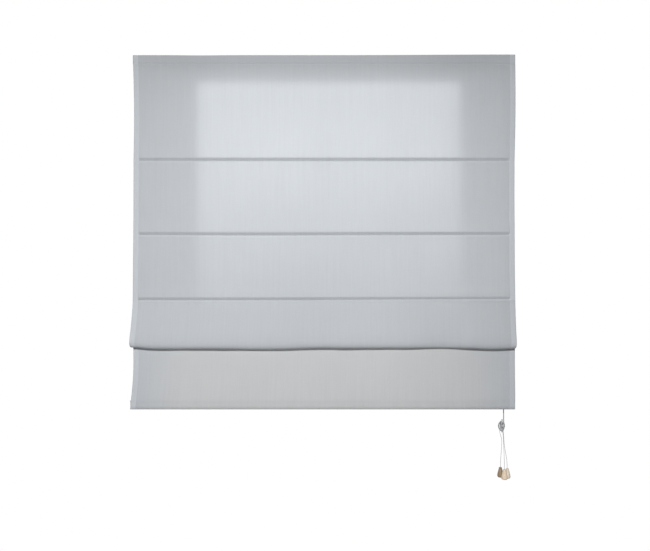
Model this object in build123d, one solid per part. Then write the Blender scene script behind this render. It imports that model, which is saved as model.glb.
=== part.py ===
from build123d import *
import os
from math import atan2, cos, degrees, pi, radians, sin, tan

# Roman blind on a wall batten, drawn part of the way up.
# X runs along the width and is plus to the right as seen from the room, Y runs into the wall, Z is up.
# The origin is in the middle of the batten's back face, which lies flat on the wall. Sizes are in mm.

# Clearances
OVERRUN = 5  # how far a cutter reaches past what it opens
LOOSE = 0.3  # gap between pieces that lie together
SNUG = 0.02  # gap between pieces that sit tight

# Wooden batten, its screw holes and the hook and loop tape on its front
BATTEN_INSET = 5  # batten inside the side edges of the cloth
BATTEN_HEIGHT = 38
BATTEN_DEPTH = 30
BATTEN_EASE = 1.5  # rounding of the long edges
WALL_HOLE_D = 5
WALL_HEAD_D = 10
WALL_HEAD_DEPTH = 4
WALL_HOLE_DROP = 11  # holes below the middle of the batten, clear of the tape
OUTER_HOLE_INSET = 115  # from the ends of the batten
INNER_HOLE_INSET = 615
TAPE_SHORT = 7  # tape short of the ends of the batten
TAPE_HEIGHT = 20
TAPE_THICKNESS = 1.2
TAPE_INSET = 2  # tape below the top of the batten

# Cloth
BLIND_WIDTH = 1800
CLOTH = 0.8
HEADER_RISE = 1  # cloth above the batten
HEADER_HEM = 32
SIDE_HEM = 27  # flat edge beside the tucks
FIRST_PANEL = 497  # top edge to the first rod
SECOND_PANEL = 349
THIRD_PANEL = 308
RAISED_PANEL = 184  # third rod to the fourth, which the cords hold up
FLAP = 324  # fourth rod to the bottom edge
FLAP_LEAN = 18  # bottom edge forward of the upper cloth
FOLD_HANG = 38  # fold below the fourth rod
FOLD_DEPTH = 38  # fold forward of the upper cloth
FOLD_GAP = 4  # back of the fold to the flap
TUCK_LIP = 2  # bend of the cloth into a tuck
TUCK_NECK = 2  # sewn height of a tuck
BOTTOM_HEM = 42
fold_round_share = 0.485  # bend at the foot of the fold, of its width
fold_spread_share = 0.72  # height over which the fold leans out, of its whole drop
fold_swell_share = 0.45  # bend where the fold turns down, of that height
seam_share = 0.9  # two sewn layers against two loose ones
hem_round_share = 0.45
bar_round_share = 0.45
loop_round_share = 0.45

# Rods, their end caps and the bar in the bottom hem
ROD_D = 4.5
CAP_WALL = 0.75
CAP_LENGTH = 14
CAP_SOCKET = 10
CAP_INSET = 3  # cap inside the end of its pocket
POCKET_GAP = 0.2  # cap to pocket
BAR_HEIGHT = 30
BAR_THICKNESS = 4
BAR_INSET = 4  # bar short of the flat edges

# Rings sewn on the pockets, in three columns
COLUMN_INSET = 300  # outer columns inside the side edges
RING_D = 14
RING_WIRE = 2
RING_SEAT = 0.1

# Cord and pulleys
CORD_D = 2
LANE_PITCH = 5  # between the cords side by side
LANE_MIDDLE = 15.5  # middle cord off the wall
WHEEL_D = 16
WHEEL_WIDTH = 4.4
WHEEL_SINK = 0.8  # middle of the cord below the rim
WHEEL_RIM = 0.3  # chamfer on the rim
WHEEL_HOLES = 5
WHEEL_HOLE_D = 1.8
WHEEL_HOLE_PITCH_D = 7.6
PIN_D = 3
PIN_PLAY = 0.04
PIN_HEAD_D = 5
PIN_HEAD = 0.8
SHEET = 1
CHEEK_WIDTH = 13
WHEEL_SIDE_GAP = 0.3
FLANGE_LENGTH = 36
FLANGE_SCREW_SPACING = 26
END_FLANGE_LENGTH = 44
END_SCREW_SPACING = 33
SCREW_D = 3
SCREW_LENGTH = 14
SCREW_HEAD_D = 5.5
SCREW_HEAD = 1.8
HEAD_CLEARANCE = 1.5  # cord below the screw heads
CORD_INSET = 49  # where the cords come down, inside the side edge
arc_share = 0.45  # of the shorter run, that an easy bend takes up

# Knots on the lowest rings
KNOT_D = 5.6
KNOT_LOOP_D = 9
KNOT_RISE = 8.6
KNOT_OFFSET = 13  # off the wall

# Cleat
CLEAT_SIDE = 8  # middle of the cleat beside the cords
CLEAT_DROP = 1729  # below the origin
CLEAT_HEIGHT = 64
CLEAT_HORN_D = 9.2
CLEAT_TIP_D = 5.4
CLEAT_STAND = 15.5  # middle of the horns off the wall
CLEAT_BASE_HEIGHT = 40
CLEAT_BASE_WIDTH = 13
CLEAT_BASE = 2.5
CLEAT_NECK_HEIGHT = 27
CLEAT_NECK_WIDTH = 8.4
CLEAT_HOLE_D = 4
CLEAT_HOLE_SPACING = 15
CLEAT_HEAD_D = 6.8
CLEAT_HEAD_SEAT = 9  # screw head off the wall
WINDING_HEIGHT = 47
WINDING_WIDTH = 30
WINDING_ROUND = 2.5
landing_share = 0.25  # where the cords enter the winding above its middle, of its height

# Tassels: turned wooden bells
TASSEL_D = 29
TASSEL_HEIGHT = 46
TASSEL_HOLE_D = 2.6
TASSEL_RECESS_D = 11
TASSEL_RECESS = 13
TASSEL_KNOT_D = 6.4
# Outline from the foot up: shares of the radius and of the height
tassel_foot_shares = (0.80, 0.00)
tassel_rim_shares = (1.00, 0.12)
tassel_flank_shares = [(0.955, 0.30), (0.76, 0.56), (0.58, 0.78)]
tassel_shoulder_shares = (0.50, 0.90)
tassel_crown_shares = (0.32, 1.00)

# Routes of the cord tails down to their tassels, chosen by hand, from the middle of the cleat's back
TAIL_LEFT = [(-10, -7, -13), (-5, -9, -44), (1, -10.5, -66), (-2, -13.5, -116), (-8, -17, -168)]
TAIL_CENTRE = [(5, -8.5, -14), (6.5, -13, -49), (6.5, -21, -85), (5, -32, -124), (3, -45, -164)]
TAIL_RIGHT = [(9, -7, -13), (11, -9, -48), (14.5, -11.5, -85), (19.5, -15, -126), (24.5, -17, -167)]
TASSEL_FEET = [-242, -244, -247]

# Places that follow from the sizes
half_width = BLIND_WIDTH / 2
batten_length = BLIND_WIDTH - 2 * BATTEN_INSET
hole_spacings = [batten_length - 2 * OUTER_HOLE_INSET, batten_length - 2 * INNER_HOLE_INSET]
top_z = BATTEN_HEIGHT / 2 + HEADER_RISE
rod_1_z = top_z - FIRST_PANEL
rod_2_z = rod_1_z - SECOND_PANEL
rod_3_z = rod_2_z - THIRD_PANEL
rod_4_z = rod_3_z - RAISED_PANEL
rod_zs = [rod_1_z, rod_2_z, rod_3_z, rod_4_z]
fold_z = rod_4_z - FOLD_HANG
fold_spread = (RAISED_PANEL + FOLD_HANG) * fold_spread_share
bottom_z = rod_4_z - FLAP
front_y = -(BATTEN_DEPTH + 2 * TAPE_THICKNESS + 2 * CLOTH)
cloth_y = front_y + CLOTH / 2
seam = CLOTH / 2 * seam_share
pocket_inner = ROD_D / 2 + CAP_WALL + POCKET_GAP
pocket_outer = pocket_inner + CLOTH
neck_y = cloth_y + TUCK_LIP + TUCK_NECK
pocket_y = neck_y + pocket_inner + CLOTH / 2
half_tuck = half_width - SIDE_HEM
ring_y = pocket_y + pocket_outer + RING_SEAT + RING_D / 2
wire_y = ring_y + (RING_D - RING_WIRE) / 2
column_xs = [COLUMN_INSET - half_width, 0, half_width - COLUMN_INSET]
lane_ys = [-LANE_MIDDLE - LANE_PITCH, -LANE_MIDDLE, -LANE_MIDDLE + LANE_PITCH]
cord_turn = WHEEL_D / 2 - WHEEL_SINK
under_z = -BATTEN_HEIGHT / 2
cord_z = under_z - SHEET - SCREW_HEAD - HEAD_CLEARANCE - CORD_D / 2
wheel_z = cord_z - cord_turn
wheel_xs = [x + cord_turn for x in column_xs]
drop_x = half_width - CORD_INSET
end_x = drop_x - cord_turn
cleat_x = drop_x - CLEAT_SIDE
cleat_z = -CLEAT_DROP
lean = atan2(FLAP_LEAN, FLAP)
sides = ["left", "centre", "right"]
parts = {}


def along_y(shape, x, y, z):
    """Stand a shape that was made along Z on the Y axis, at a place."""
    return Pos(x, y, z) * Rot(X=-90) * shape


def along_x(shape, x, y, z):
    """Lay a shape that was made along Z on the X axis, at a place."""
    return Pos(x, y, z) * Rot(Y=90) * shape


def rise(radius, height):
    """A cylinder that stands on its place."""
    return Cylinder(radius, height, align=(Align.CENTER, Align.CENTER, Align.MIN))


def block(x0, x1, y0, y1, z0, z1):
    """A box between two corners."""
    return Pos((x0 + x1) / 2, (y0 + y1) / 2, (z0 + z1) / 2) * Box(x1 - x0, y1 - y0, z1 - z0)


def beside(points, radii, gap):
    """A line with rounded corners that runs beside another one, to its left by the gap."""
    spots = [Vector(*point) for point in points]
    runs = [(b - a).normalized() for a, b in zip(spots, spots[1:])]
    normals = [run.rotate(Axis.Z, 90) for run in runs]
    moved = [spots[0] + normals[0] * gap]
    bends = []
    for spot, before, after, radius in zip(spots[1:], normals, normals[1:], radii):
        moved.append(spot + (before + after) * (gap / (1 + before.dot(after))))
        bends.append(radius - gap if before.cross(after).Z > 0 else radius + gap)
    moved.append(spots[-1] + normals[-1] * gap)
    return FilletPolyline(*moved, radius=bends)


def strip(points, radii, layers):
    """Cloth along the middle of its front layer, with rounded corners. More layers lie behind."""
    back = beside(points, radii, CLOTH * layers - CLOTH / 2)
    front = beside(points, radii, -CLOTH / 2)
    return make_face([back, Line(back @ 1, front @ 1), front, Line(front @ 0, back @ 0)])


def spread(section, x0, x1):
    """A section in Y and Z drawn out from x0 to x1."""
    return extrude(Plane.YZ.offset(x0) * section, amount=x1 - x0)


def flap_point(down, back):
    """A place on the leaning flap: so far down from the fourth rod and so far behind its middle layer."""
    return (
        cloth_y - down * sin(lean) + back * cos(lean),
        rod_4_z - down * cos(lean) - back * sin(lean),
    )


# Batten with its wall holes and the pilot holes of the pulley screws
screw_reach = FLANGE_SCREW_SPACING / 2
single_screws = [(x + s * screw_reach, y) for x, y in zip(wheel_xs, lane_ys) for s in (-1, 1)]
end_screws = [(end_x + s * END_SCREW_SPACING / 2, -LANE_MIDDLE) for s in (-1, 1)]
screw_places = single_screws + end_screws
batten = block(-batten_length / 2, batten_length / 2, -BATTEN_DEPTH, 0, under_z, -under_z)
long_edges = batten.edges().filter_by(Axis.X).group_by(Axis.Y)[0]
batten = fillet(long_edges, BATTEN_EASE)
for spacing in hole_spacings:
    for side in (-1, 1):
        hole_x = side * spacing / 2
        through = rise(WALL_HOLE_D / 2, BATTEN_DEPTH + 2 * OVERRUN)
        batten -= along_y(through, hole_x, -BATTEN_DEPTH - OVERRUN, -WALL_HOLE_DROP)
        sink = rise(WALL_HEAD_D / 2, WALL_HEAD_DEPTH + OVERRUN)
        batten -= along_y(sink, hole_x, -BATTEN_DEPTH - OVERRUN, -WALL_HOLE_DROP)
for x, y in screw_places:
    batten -= Pos(x, y, under_z - OVERRUN) * rise(SCREW_D / 2 + SNUG, SCREW_LENGTH + OVERRUN)
parts["head_batten"] = batten

# Hook tape on the batten, loop tape on the back of the cloth
tape_top = -under_z - TAPE_INSET
tape_foot = tape_top - TAPE_HEIGHT
hook_y = -BATTEN_DEPTH - TAPE_THICKNESS
loop_y = hook_y - TAPE_THICKNESS
half_tape = batten_length / 2 - TAPE_SHORT
parts["hook_tape"] = block(-half_tape, half_tape, hook_y, -BATTEN_DEPTH, tape_foot, tape_top)
parts["loop_tape"] = block(-half_tape, half_tape, loop_y, hook_y, tape_foot, tape_top)

# Cloth: the section through the tucks
header = RectangleRounded(2 * CLOTH, HEADER_HEM, CLOTH * hem_round_share)
header = Pos(front_y + CLOTH, top_z - HEADER_HEM / 2) * header
fold_radius = (FOLD_DEPTH - FOLD_GAP) * fold_round_share
fold_line = [
    (cloth_y - FOLD_DEPTH, rod_3_z - fold_spread),
    (cloth_y - FOLD_DEPTH, fold_z),
    (cloth_y - FOLD_GAP, fold_z),
]
swell = fold_spread * fold_swell_share / tan(atan2(FOLD_DEPTH, fold_spread) / 2) / 2
fold_radii = [swell, fold_radius, fold_radius]
bar_room = BAR_THICKNESS + 2 * LOOSE + CLOTH
hem_start = flap_point(FLAP - BAR_HEIGHT / 2, 0)
hem_radii = [bar_room * hem_round_share, bar_room * hem_round_share, bar_room]


def hem(layers):
    """The bottom hem, from half way down the bar, round it and up to the seam behind the flap."""
    line = [
        hem_start,
        flap_point(FLAP, 0),
        flap_point(FLAP, bar_room),
        flap_point(FLAP - BAR_HEIGHT - 2 * LOOSE - CLOTH, bar_room),
        flap_point(FLAP - BOTTOM_HEM, CLOTH * (2 * layers - 1) * seam_share),
    ]
    return strip(line, hem_radii, layers)


tucked = header
upper_panel = [(cloth_y, top_z - HEADER_HEM / 2), (cloth_y, rod_1_z + seam), (neck_y, rod_1_z + seam)]
tucked += strip(upper_panel, [TUCK_LIP], 1)
for upper, lower in [(rod_1_z, rod_2_z), (rod_2_z, rod_3_z)]:
    panel = [(neck_y, upper - seam), (cloth_y, upper - seam)]
    panel += [(cloth_y, lower + seam), (neck_y, lower + seam)]
    tucked += strip(panel, [TUCK_LIP, TUCK_LIP], 1)
raised = [(neck_y, rod_3_z - seam), (cloth_y, rod_3_z - seam)] + fold_line
raised += [(cloth_y - FOLD_GAP, rod_4_z + seam), (neck_y, rod_4_z + seam)]
tucked += strip(raised, [TUCK_LIP] + fold_radii + [TUCK_LIP], 1)
tucked += strip([(neck_y, rod_4_z - seam), flap_point(seam / cos(lean), 0), hem_start], [TUCK_LIP], 1)
tucked += hem(1)
for z in rod_zs:
    tucked += Pos(pocket_y, z) * (Circle(pocket_outer) - Circle(pocket_inner))

# Cloth: the section through the flat side hems, which are turned back and so twice as thick
edge_line = [(cloth_y, top_z - HEADER_HEM / 2), (cloth_y, rod_3_z)] + fold_line
loop_start = flap_point(-FOLD_GAP / 2, 0)
edge_line += [(cloth_y - FOLD_GAP, loop_start[1]), loop_start, hem_start]
loop_radius = FOLD_GAP * loop_round_share
edge_radii = [fold_spread] + fold_radii + [loop_radius, loop_radius]
edge = header + strip(edge_line, edge_radii, 2) + hem(2)
cloth = spread(tucked, -half_tuck, half_tuck)
cloth += spread(edge, -half_width, -half_tuck)
cloth += spread(edge, half_tuck, half_width)
parts["cloth"] = cloth

# Rods in their pockets, with a cap pushed on each end
cap_end = half_tuck - CAP_INSET
rod_end = cap_end - CAP_LENGTH + CAP_SOCKET
caps = []
for index, z in enumerate(rod_zs):
    parts[f"rod_{index + 1}"] = along_x(Cylinder(ROD_D / 2, 2 * rod_end), 0, pocket_y, z)
    for side in (-1, 1):
        cap = fillet(rise(ROD_D / 2 + CAP_WALL, CAP_LENGTH).edges().group_by(Axis.Z)[-1], CAP_WALL)
        cap -= rise(ROD_D / 2 + SNUG, CAP_SOCKET)
        caps.append(Pos(side * (cap_end - CAP_LENGTH), pocket_y, z) * Rot(Y=side * 90) * cap)
parts["rod_caps"] = Compound(children=caps)

# Flat bar in the bottom hem
bar_y, bar_z = flap_point(FLAP - CLOTH / 2 - LOOSE - BAR_HEIGHT / 2, bar_room / 2)
bar = Box(2 * (half_tuck - BAR_INSET), BAR_THICKNESS, BAR_HEIGHT)
bar = fillet(bar.edges().filter_by(Axis.X), BAR_THICKNESS * bar_round_share)
parts["bottom_bar"] = Pos(0, bar_y, bar_z) * Rot(X=-degrees(lean)) * bar

# Rings, one on each pocket in each column
for name, x in zip(sides, column_xs):
    rings = [Pos(x, ring_y, z) * Torus((RING_D - RING_WIRE) / 2, RING_WIRE / 2) for z in rod_zs]
    parts[f"rings_{name}"] = Compound(children=rings)


def wheel():
    """A grooved pulley wheel on the Z axis, with holes through its web."""
    body = Cylinder(WHEEL_D / 2, WHEEL_WIDTH)
    body = chamfer(body.edges().filter_by(GeomType.CIRCLE), WHEEL_RIM)
    groove_r = CORD_D / 2 + LOOSE
    groove = Pos(cord_turn, 0) * Circle(groove_r)
    groove += Pos(cord_turn + OVERRUN / 2, 0) * Rectangle(OVERRUN, 2 * groove_r)
    body -= revolve(Plane.XZ * groove, axis=Axis.Z)
    body -= Cylinder(PIN_D / 2 + PIN_PLAY, WHEEL_WIDTH + OVERRUN)
    ring = PolarLocations(WHEEL_HOLE_PITCH_D / 2, WHEEL_HOLES)
    return body - ring * Cylinder(WHEEL_HOLE_D / 2, WHEEL_WIDTH + OVERRUN)


def bracket(inner, length, spacing):
    """A folded steel bracket that hangs from z = 0 with its pin hole along Y at the wheel's height."""
    outer = inner + 2 * SHEET
    axle = wheel_z - under_z
    body = extrude(SlotOverall(length, min(outer, length)), amount=-SHEET)
    cheek = Rectangle(CHEEK_WIDTH, -axle, align=(Align.CENTER, Align.MAX))
    cheek += Pos(0, axle) * Circle(CHEEK_WIDTH / 2)
    for side in (-1, 1):
        plate = extrude(Plane.XZ * cheek, amount=SHEET / 2, both=True)
        body += Pos(0, side * (inner + SHEET) / 2, 0) * plate
    body -= along_y(Cylinder(PIN_D / 2 + SNUG, outer + OVERRUN), 0, 0, axle)
    for side in (-1, 1):
        body -= Pos(side * spacing / 2, 0, 0) * Cylinder(SCREW_D / 2 + LOOSE, SHEET * 2 + OVERRUN)
    return body


def pin(inner):
    """A headed pin along Y through both cheeks."""
    outer = inner + 2 * SHEET
    body = Cylinder(PIN_D / 2, outer)
    for side in (-1, 1):
        head = Cylinder(PIN_HEAD_D / 2, PIN_HEAD)
        head = fillet(head.edges().group_by(Axis.Z)[-1 if side > 0 else 0], PIN_HEAD / 2)
        body += Pos(0, 0, side * (outer + PIN_HEAD) / 2) * head
    return body


# Three single pulleys, one over each column, and the triple one where the cords turn down
single_inner = WHEEL_WIDTH + 2 * WHEEL_SIDE_GAP
end_inner = single_inner + 2 * LANE_PITCH
for name, x, y in zip(sides, wheel_xs, lane_ys):
    single = bracket(single_inner, FLANGE_LENGTH, FLANGE_SCREW_SPACING)
    parts[f"pulley_bracket_{name}"] = Pos(x, y, under_z) * single
    parts[f"pulley_pin_{name}"] = along_y(pin(single_inner), x, y, wheel_z)
    parts[f"pulley_wheel_{name}"] = along_y(wheel(), x, y, wheel_z)
    parts[f"end_wheel_{name}"] = along_y(wheel(), end_x, y, wheel_z)
triple = bracket(end_inner, END_FLANGE_LENGTH, END_SCREW_SPACING)
parts["end_bracket"] = Pos(end_x, -LANE_MIDDLE, under_z) * triple
parts["end_pin"] = along_y(pin(end_inner), end_x, -LANE_MIDDLE, wheel_z)

# Screws of the pulleys
screws = []
for x, y in screw_places:
    head = Cylinder(SCREW_HEAD_D / 2, SCREW_HEAD, align=(Align.CENTER, Align.CENTER, Align.MAX))
    head = fillet(head.edges().group_by(Axis.Z)[0], SCREW_HEAD / 2)
    screws.append(Pos(x, y, under_z - SHEET) * (head + rise(SCREW_D / 2, SCREW_LENGTH)))
parts["pulley_screws"] = Compound(children=screws)


def tube(name, points, radii):
    """A cord along straight runs and tangent arcs. Prints its length and its arcs."""
    path = FilletPolyline(*points, radius=radii)
    section = Plane(origin=path @ 0, z_dir=path % 0) * Circle(CORD_D / 2)
    solid = sweep(section, path=path)
    share = solid.volume / (pi * CORD_D**2 / 4 * path.length)
    bends = [round(radius, 1) for radius in radii]
    print(name, "length", round(path.length, 1), "volume share", round(share, 4), "radii", bends)
    return solid


def easy_radii(points):
    """The largest arc that the two runs at each corner leave room for."""
    radii = []
    for before, here, after in zip(points, points[1:], points[2:]):
        first = Vector(*here) - Vector(*before)
        second = Vector(*after) - Vector(*here)
        turn = radians(first.get_angle(second))
        radii.append(arc_share * min(first.length, second.length) / tan(turn / 2))
    return radii


# Lift cords: from a knot on the lowest ring, over the column's pulley, along to the end pulley and down
winding_back = -CLEAT_BASE - LOOSE
winding_front = -CLEAT_STAND + CLEAT_HORN_D / 2 + LOOSE
winding_depth = winding_back - winding_front
knot_z = rod_4_z + KNOT_RISE
knots = []
for index, (name, x, y) in enumerate(zip(sides, column_xs, lane_ys)):
    knot_top = (x, -KNOT_OFFSET, knot_z + KNOT_D / 2 * seam_share)
    landing_y = (winding_front + winding_back) / 2 + (index - 1) * (CORD_D + LOOSE)
    landing = (drop_x, landing_y, cleat_z + WINDING_HEIGHT * landing_share)
    route = [knot_top, (x, y, cord_z), (drop_x, y, cord_z), landing]
    parts[f"lift_cord_{name}"] = tube(f"lift_cord_{name}", route, [cord_turn, cord_turn])
    reach = Vector(0, -KNOT_OFFSET - wire_y, KNOT_RISE).normalized()
    eye = Vector(x, wire_y, rod_4_z) + reach * (KNOT_LOOP_D / 2 - RING_WIRE / 2 - CORD_D / 2 - LOOSE)
    ball = Pos(x, -KNOT_OFFSET, knot_z) * Sphere(KNOT_D / 2)
    ball -= Pos(x, -KNOT_OFFSET, knot_top[2] + KNOT_D / 2 - SNUG) * Box(KNOT_D, KNOT_D, KNOT_D)
    loop = Pos(*eye) * Rot(Y=90) * Torus(KNOT_LOOP_D / 2, CORD_D / 2)
    knots.append(ball + loop)
parts["ring_knots"] = Compound(children=knots)

# Cleat: a base, a neck and two horns, screwed through the neck
horn_half = CLEAT_HEIGHT / 2 - CLEAT_TIP_D / 2
flank = ThreePointArc((CLEAT_TIP_D / 2, -horn_half), (CLEAT_HORN_D / 2, 0), (CLEAT_TIP_D / 2, horn_half))
upper_tip = JernArc(start=flank @ 1, tangent=(0, 1), radius=CLEAT_TIP_D / 2, arc_size=90)
lower_tip = JernArc(start=flank @ 0, tangent=(0, -1), radius=CLEAT_TIP_D / 2, arc_size=-90)
spindle = make_face([flank, upper_tip, lower_tip, Line(lower_tip @ 1, upper_tip @ 1)])
cleat = Pos(0, -CLEAT_STAND, 0) * revolve(Plane.XZ * spindle, axis=Axis.Z)
base = extrude(Plane.XZ * Rot(Z=90) * SlotOverall(CLEAT_BASE_HEIGHT, CLEAT_BASE_WIDTH), amount=CLEAT_BASE)
neck = extrude(Plane.XZ * Rot(Z=90) * SlotOverall(CLEAT_NECK_HEIGHT, CLEAT_NECK_WIDTH), amount=CLEAT_STAND)
cleat += base + neck
for side in (-1, 1):
    hole_z = side * CLEAT_HOLE_SPACING / 2
    cleat -= along_y(rise(CLEAT_HOLE_D / 2, 2 * CLEAT_STAND), 0, -2 * CLEAT_STAND, hole_z)
    cleat -= along_y(rise(CLEAT_HOLE_D / 2, CLEAT_STAND), 0, -CLEAT_STAND + OVERRUN, hole_z)
    cleat -= along_y(rise(CLEAT_HEAD_D / 2, 2 * CLEAT_STAND), 0, -2 * CLEAT_STAND - CLEAT_HEAD_SEAT, hole_z)
parts["cleat"] = Pos(cleat_x, 0, cleat_z) * cleat

# The turns of all three cords round the neck of the cleat
turns = Rot(Z=90) * (
    SlotOverall(WINDING_HEIGHT, WINDING_WIDTH)
    - SlotOverall(CLEAT_NECK_HEIGHT + 2 * LOOSE, CLEAT_NECK_WIDTH + 2 * LOOSE)
)
winding = extrude(Plane.XZ.offset(-winding_back) * turns, amount=winding_depth)
outer_edges = winding.edges().filter_by(GeomType.LINE).filter_by(Axis.Z).sort_by(Axis.X)
winding = fillet(outer_edges[:2] + outer_edges[-2:], WINDING_ROUND)
parts["cord_winding"] = Pos(cleat_x, 0, cleat_z) * winding


def bell_point(shares):
    """A place on the bell's outline from its shares of the radius and of the height."""
    return (shares[0] * TASSEL_D / 2, shares[1] * TASSEL_HEIGHT)


def tassel():
    """A turned bell that stands on z = 0, drilled for its cord and recessed for the knot."""
    foot = bell_point(tassel_foot_shares)
    rim = bell_point(tassel_rim_shares)
    flank = [bell_point(shares) for shares in tassel_flank_shares]
    shoulder = bell_point(tassel_shoulder_shares)
    crown = bell_point(tassel_crown_shares)
    outline = [
        Line((0, 0), foot),
        ThreePointArc(foot, ((foot[0] + rim[0]) / 2 + LOOSE, (foot[1] + rim[1]) / 2 - LOOSE), rim),
        Spline(rim, *flank, shoulder, tangents=[(0, 1), (0, 1)]),
        Spline(shoulder, crown, tangents=[(0, 1), (-1, 0)]),
        Line(crown, (0, TASSEL_HEIGHT)),
        Line((0, TASSEL_HEIGHT), (0, 0)),
    ]
    body = revolve(Plane.XZ * make_face(outline), axis=Axis.Z)
    body -= rise(TASSEL_HOLE_D / 2, TASSEL_HEIGHT + OVERRUN)
    return body - rise(TASSEL_RECESS_D / 2, TASSEL_RECESS)


# Tails and tassels, with a knot in the foot of each tassel
foot_knots = []
for name, route, foot in zip(sides, (TAIL_LEFT, TAIL_CENTRE, TAIL_RIGHT), TASSEL_FEET):
    foot_z = cleat_z + foot
    points = [(cleat_x + x, y, cleat_z + z) for x, y, z in route]
    hang_x, hang_y = points[-1][:2]
    knot_seat = foot_z + TASSEL_RECESS - SNUG
    points.append((hang_x, hang_y, knot_seat))
    parts[f"cord_tail_{name}"] = tube(f"cord_tail_{name}", points, easy_radii(points))
    parts[f"tassel_{name}"] = Pos(hang_x, hang_y, foot_z) * tassel()
    ball = Pos(hang_x, hang_y, knot_seat - TASSEL_KNOT_D / 2 * seam_share) * Sphere(TASSEL_KNOT_D / 2)
    foot_knots.append(ball - Pos(hang_x, hang_y, knot_seat + TASSEL_KNOT_D / 2) * Box(*[TASSEL_KNOT_D] * 3))
parts["tassel_knots"] = Compound(children=foot_knots)

os.makedirs("parts", exist_ok=True)
for node, shape in parts.items():
    export_step(shape, f"parts/{node}.step")
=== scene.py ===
import math

import bmesh
import bpy
import numpy as np
from bpy.props import FloatProperty, FloatVectorProperty, IntProperty, PointerProperty
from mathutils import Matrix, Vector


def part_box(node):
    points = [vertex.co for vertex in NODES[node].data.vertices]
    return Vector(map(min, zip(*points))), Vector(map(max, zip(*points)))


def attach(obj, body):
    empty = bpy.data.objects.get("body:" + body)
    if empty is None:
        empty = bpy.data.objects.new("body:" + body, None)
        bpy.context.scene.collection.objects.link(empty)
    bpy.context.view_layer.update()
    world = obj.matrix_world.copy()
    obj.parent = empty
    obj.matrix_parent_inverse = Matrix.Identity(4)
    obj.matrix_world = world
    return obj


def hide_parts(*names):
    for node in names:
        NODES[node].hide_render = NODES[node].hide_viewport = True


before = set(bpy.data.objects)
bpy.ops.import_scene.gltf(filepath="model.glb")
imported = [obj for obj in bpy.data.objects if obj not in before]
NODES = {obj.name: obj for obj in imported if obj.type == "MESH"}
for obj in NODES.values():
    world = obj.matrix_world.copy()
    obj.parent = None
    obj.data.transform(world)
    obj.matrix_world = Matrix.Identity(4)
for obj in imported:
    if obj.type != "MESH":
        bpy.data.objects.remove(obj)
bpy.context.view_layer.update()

bl_info = {
    "name": "Roman Blind",
    "version": (1, 0, 0),
    "blender": (4, 5, 0),
    "location": "View3D > Sidebar > Blind",
    "description": "Dresses a drawn-up roman blind: cloth, stitching, cords, knots, fittings and stage",
    "category": "Object",
}

BODY = "blind"
COLUMNS = ("left", "centre", "right")


def corners(node):
    """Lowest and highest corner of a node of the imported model, as arrays in metres."""
    low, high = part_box(node)
    return np.array(low), np.array(high)


def middle(node):
    """Middle of a node's box."""
    low, high = corners(node)
    return (low + high) / 2


CLOTH_LOW, CLOTH_HIGH = corners("cloth")
HALF_WIDTH = CLOTH_HIGH[0]
TOP = CLOTH_HIGH[2]
RODS = [middle(f"rod_{number}") for number in (1, 2, 3, 4)]
TAPE_FRONT = corners("loop_tape")[0][1]
POCKET_END = corners("rod_caps")[1][0]
BAR_LOW, BAR_HIGH = corners("bottom_bar")
CLEAT = middle("cleat")

# Routes of the cords in metres, as in the part's source: lanes at the pulleys, then the tails
CORD_LEVEL = -0.0243
CORD_DROP = 0.851
PULLEY_RUN = 0.0144
KNOT_SPOT = (-0.013, -1.3069)
COLUMN_X = {"left": -0.600, "centre": 0.0, "right": 0.600}
LANE_Y = {"left": -0.0205, "centre": -0.0155, "right": -0.0105}
LAYER_Y = {"left": -0.0090, "centre": -0.0067, "right": -0.0044}
TAILS = {
    "left": [
        (0.8345, -0.0088, -1.7500),
        (0.8335, -0.0090, -1.7590),
        (0.8375, -0.0092, -1.7740),
        (0.8440, -0.0105, -1.7950),
        (0.8410, -0.0135, -1.8450),
        (0.8350, -0.0170, -1.8970),
        (0.8350, -0.0170, -1.9580),
    ],
    "centre": [
        (0.8475, -0.0088, -1.7480),
        (0.8495, -0.0130, -1.7780),
        (0.8495, -0.0210, -1.8140),
        (0.8480, -0.0320, -1.8530),
        (0.8460, -0.0450, -1.8930),
        (0.8460, -0.0450, -1.9600),
    ],
    "right": [
        (0.8520, -0.0066, -1.7460),
        (0.8525, -0.0090, -1.7770),
        (0.8540, -0.0115, -1.8140),
        (0.8590, -0.0150, -1.8550),
        (0.8675, -0.0170, -1.8960),
        (0.8675, -0.0170, -1.9630),
    ],
}
# Turns round the cleat: first and last angle, half width, half height, share kept at the last turn
TURNS = {
    "left": (-64, 430, 0.0140, 0.0256, 0.80),
    "centre": (-59, 745, 0.0160, 0.0268, 0.66),
    "right": (-53, 745, 0.0170, 0.0252, 0.66),
}


def setting(kind, **limits):
    """A maker of properties of one kind, each from a name, a description and a default."""

    def make(name, description, default):
        return kind(name=name, description=description, default=default, **limits)

    return make


length = setting(FloatProperty, unit="LENGTH", precision=5)
share = setting(FloatProperty, min=0, max=1, subtype="FACTOR")
amount = setting(FloatProperty, min=0)
colour = setting(FloatVectorProperty, size=3, min=0, max=1, subtype="COLOR")


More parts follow.
